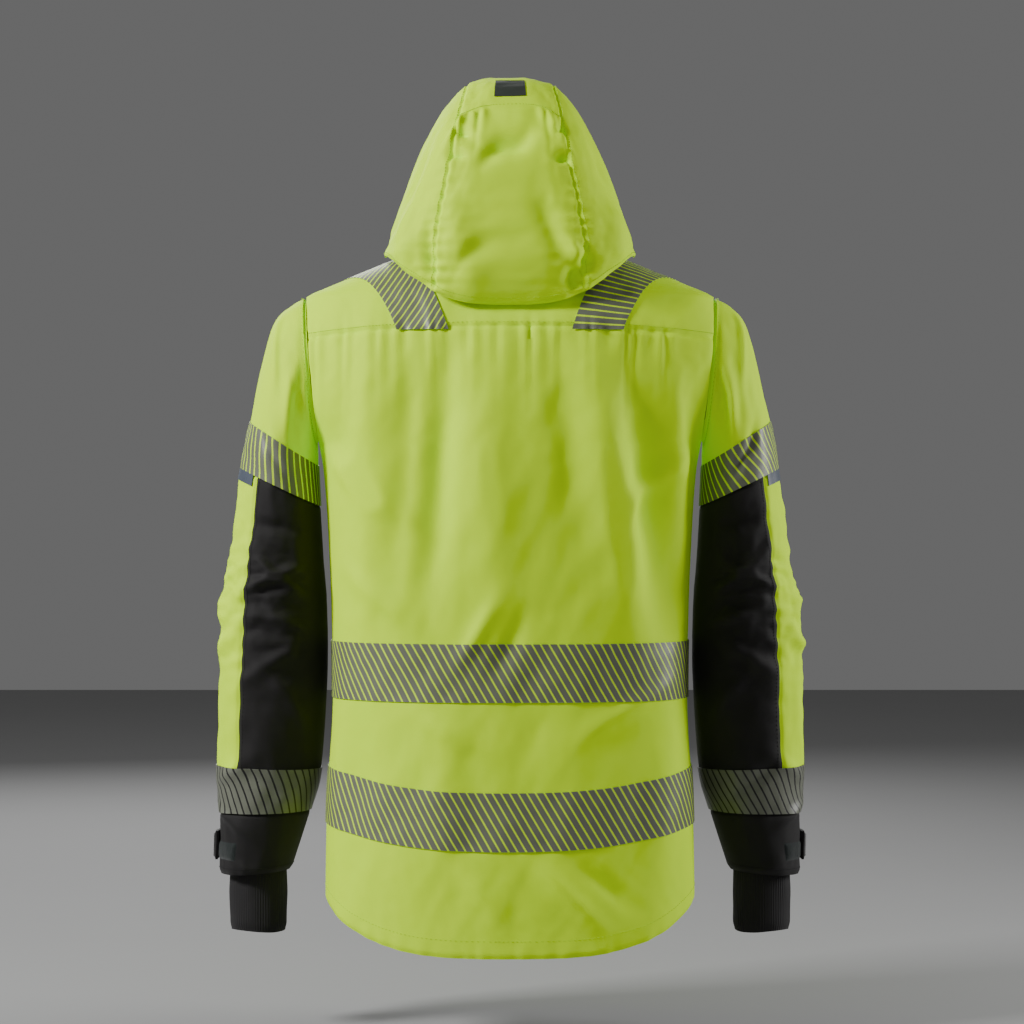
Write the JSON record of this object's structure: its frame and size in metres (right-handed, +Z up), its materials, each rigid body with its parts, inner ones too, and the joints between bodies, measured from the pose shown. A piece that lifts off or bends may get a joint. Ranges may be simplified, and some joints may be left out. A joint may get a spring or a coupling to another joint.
{
  "type": "hooded high-visibility work jacket",
  "caption": "Hooded insulated work jacket in fluorescent yellow and black with reflective tape, a front zip, bending sleeves and cuffs with closing tabs.",
  "frame": {"origin": "middle of the neck seam, where the wearer's neck and shoulders hold the jacket", "axes": "+Z up, the wearer faces -Y, the wearer's left is +X"},
  "size_m": [0.7578, 0.3169, 1.0882],
  "materials": {
    "yellow_fabric": "woven polyester, matt",
    "black_fabric": "woven polyester, matt",
    "reflective_tape": "segmented heat-applied reflective film, satin",
    "slate_tape": "coated ribbon",
    "lining_fabric": "quilted taffeta",
    "rib_knit": "ribbed knit",
    "nylon": "moulded nylon",
    "loop_fabric": "brushed loop tape"
  },
  "bodies": {
    "torso": {"back_panel": "yellow_fabric", "back_yoke": "yellow_fabric", "front_panel_left": "yellow_fabric", "front_panel_right": "yellow_fabric", "front_yoke_left": "yellow_fabric", "front_yoke_right": "yellow_fabric", "collar": "yellow_fabric", "body_lining": "lining_fabric", "waist_band": "reflective_tape", "hem_band": "reflective_tape", "shoulder_tape_left": "reflective_tape", "shoulder_tape_right": "reflective_tape", "zip_tape_left": "nylon", "zip_tape_right": "nylon", "hang_loop": "black_fabric", "pocket_welt_left": "black_fabric", "pocket_welt_right": "black_fabric", "hood_centre_panel": "yellow_fabric", "hood_left_panel": "yellow_fabric", "hood_right_panel": "yellow_fabric", "hood_patch": "reflective_tape"},
    "hood": {"hood_brim": "yellow_fabric", "hood_front_left": "yellow_fabric", "hood_front_right": "yellow_fabric"},
    "zip_slider": {"zip_slider": "nylon"},
    "zip_pull": {"zip_pull": "nylon"},
    "upper_sleeve_left": {"upper_sleeve_left": "yellow_fabric", "upper_band_left": "reflective_tape", "accent_strip_left": "slate_tape", "outer_panel_upper_left": "yellow_fabric", "under_panel_upper_left": "black_fabric"},
    "lower_sleeve_left": {"outer_panel_lower_left": "yellow_fabric", "under_panel_lower_left": "black_fabric", "lower_band_left": "reflective_tape", "outer_cuff_left": "black_fabric", "storm_cuff_left": "rib_knit", "cuff_loop_patch_left": "loop_fabric"},
    "cuff_tab_left": {"cuff_tab_left": "black_fabric"},
    "pocket_flap_left": {"pocket_flap_left": "yellow_fabric"},
    "upper_sleeve_right": {"upper_sleeve_right": "yellow_fabric", "upper_band_right": "reflective_tape", "accent_strip_right": "slate_tape", "outer_panel_upper_right": "yellow_fabric", "under_panel_upper_right": "black_fabric"},
    "lower_sleeve_right": {"outer_panel_lower_right": "yellow_fabric", "under_panel_lower_right": "black_fabric", "lower_band_right": "reflective_tape", "outer_cuff_right": "black_fabric", "storm_cuff_right": "rib_knit", "cuff_loop_patch_right": "loop_fabric"},
    "cuff_tab_right": {"cuff_tab_right": "black_fabric"},
    "pocket_flap_right": {"pocket_flap_right": "yellow_fabric"}
  },
  "joints": [
    {"name": "hood_tilt", "type": "hinge", "parent": "torso", "child": "hood", "pos_m": [0, -0.06, 0.012], "axis": [-1, 0, 0], "range_deg": [0, 60]},
    {"name": "zip_slide", "type": "slide", "parent": "torso", "child": "zip_slider", "axis": [0, -0.0564, -0.9984], "range_m": [0, 0.76]},
    {"name": "zip_pull_swing", "type": "hinge", "parent": "zip_slider", "child": "zip_pull", "pos_m": [0, -0.11989, 0.02091], "axis": [-1, 0, 0], "range_deg": [0, 100]},
    {"name": "sleeve_raise_left", "type": "hinge", "parent": "torso", "child": "upper_sleeve_left", "pos_m": [0.259, 0, -0.031], "axis": [0, -1, 0], "range_deg": [0, 60]},
    {"name": "elbow_bend_left", "type": "hinge", "parent": "upper_sleeve_left", "child": "lower_sleeve_left", "pos_m": [0.2985, -0.014, -0.425], "axis": [-1, 0, 0], "range_deg": [0, 65]},
    {"name": "cuff_tab_peel_left", "type": "hinge", "parent": "lower_sleeve_left", "child": "cuff_tab_left", "pos_m": [0.3295, -0.1132, -0.732], "axis": [0, 0, -1], "range_deg": [0, 90]},
    {"name": "pocket_flap_lift_left", "type": "hinge", "parent": "torso", "child": "pocket_flap_left", "pos_m": [0.135, -0.1329, -0.55], "axis": [-0.9295, -0.3688, 0], "range_deg": [0, 110]},
    {"name": "sleeve_raise_right", "type": "hinge", "parent": "torso", "child": "upper_sleeve_right", "pos_m": [-0.259, 0, -0.031], "axis": [0, 1, 0], "range_deg": [0, 60]},
    {"name": "elbow_bend_right", "type": "hinge", "parent": "upper_sleeve_right", "child": "lower_sleeve_right", "pos_m": [-0.2985, -0.014, -0.425], "axis": [-1, 0, 0], "range_deg": [0, 65]},
    {"name": "cuff_tab_peel_right", "type": "hinge", "parent": "lower_sleeve_right", "child": "cuff_tab_right", "pos_m": [-0.3295, -0.1132, -0.732], "axis": [0, 0, 1], "range_deg": [0, 90]},
    {"name": "pocket_flap_lift_right", "type": "hinge", "parent": "torso", "child": "pocket_flap_right", "pos_m": [-0.135, -0.1329, -0.55], "axis": [-0.9295, 0.3688, 0], "range_deg": [0, 110]}
  ]
}
